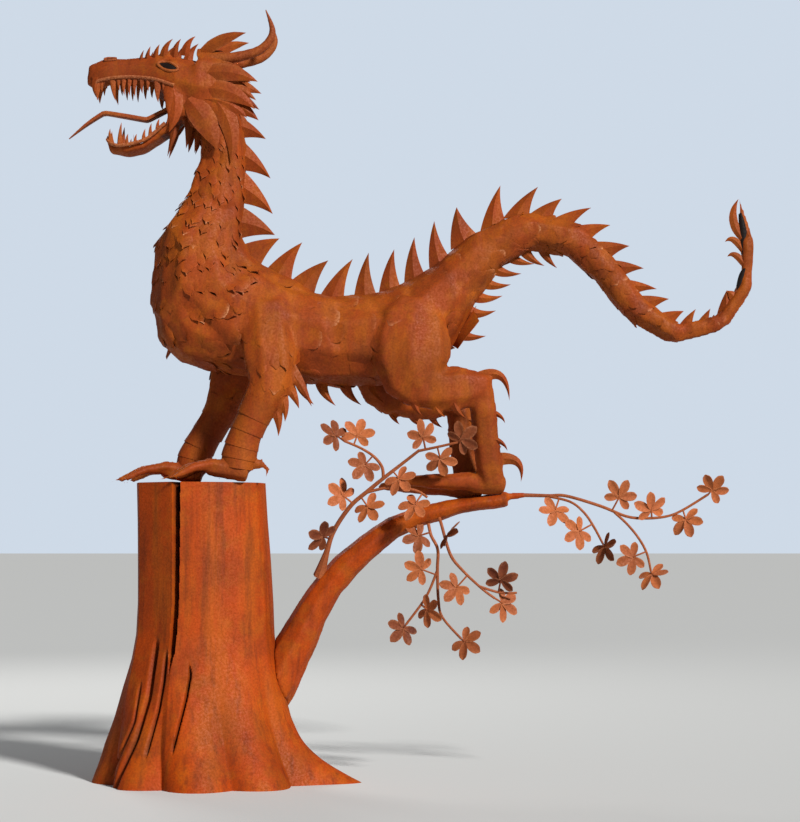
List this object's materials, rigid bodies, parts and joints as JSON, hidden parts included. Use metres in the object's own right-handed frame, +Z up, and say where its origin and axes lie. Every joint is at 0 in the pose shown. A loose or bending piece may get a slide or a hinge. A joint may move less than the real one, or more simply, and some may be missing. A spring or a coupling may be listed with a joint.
{
  "type": "steel dragon sculpture",
  "caption": "Weathering steel sculpture of a scaled, horned dragon standing on a tree stump and its branch, with leafy twigs; stands on the ground by its own weight.",
  "frame": {"origin": "middle of the stump's flat underside, on the ground", "axes": "+Z up, -X the way the dragon faces, -Y the dragon's left side, which the picture shows"},
  "size_m": [4.4237, 1.3476, 4.921],
  "materials": {
    "tree_rust": "weathering steel, orange rust with streaks",
    "leaf_rust": "weathering steel, pale brown rust",
    "dragon_rust": "weathering steel, mottled brown and ochre rust",
    "plate_rust": "weathering steel, red brown rust"
  },
  "bodies": {
    "root": {"tree_stump": "tree_rust", "tree_branch": "tree_rust", "leaf_spray_upper": "leaf_rust", "leaf_spray_hanging_left": "leaf_rust", "leaf_spray_hanging_right": "leaf_rust", "leaf_spray_right": "leaf_rust", "dragon_body": "dragon_rust", "tongue": "dragon_rust", "horn_left": "dragon_rust", "ear_left": "plate_rust", "horn_right": "dragon_rust", "ear_right": "plate_rust", "dorsal_plate_01": "plate_rust", "dorsal_plate_02": "plate_rust", "dorsal_plate_03": "plate_rust", "dorsal_plate_04": "plate_rust", "dorsal_plate_05": "plate_rust", "dorsal_plate_06": "plate_rust", "dorsal_plate_07": "plate_rust", "dorsal_plate_08": "plate_rust", "dorsal_plate_09": "plate_rust", "dorsal_plate_10": "plate_rust", "dorsal_plate_11": "plate_rust", "dorsal_plate_12": "plate_rust", "dorsal_plate_13": "plate_rust", "dorsal_plate_14": "plate_rust", "dorsal_plate_15": "plate_rust", "dorsal_plate_16": "plate_rust", "dorsal_plate_17": "plate_rust", "dorsal_plate_18": "plate_rust", "dorsal_plate_19": "plate_rust", "dorsal_plate_20": "plate_rust", "dorsal_plate_21": "plate_rust", "dorsal_plate_22": "plate_rust", "dorsal_plate_23": "plate_rust", "dorsal_plate_24": "plate_rust", "dorsal_plate_25": "plate_rust", "dorsal_plate_26": "plate_rust", "under_plate_01": "plate_rust", "under_plate_02": "plate_rust", "under_plate_03": "plate_rust", "under_plate_04": "plate_rust", "under_plate_05": "plate_rust", "under_plate_06": "plate_rust", "under_plate_07": "plate_rust", "under_plate_08": "plate_rust", "under_plate_09": "plate_rust", "under_plate_10": "plate_rust", "under_plate_11": "plate_rust", "under_plate_12": "plate_rust"}
  },
  "joints": []
}
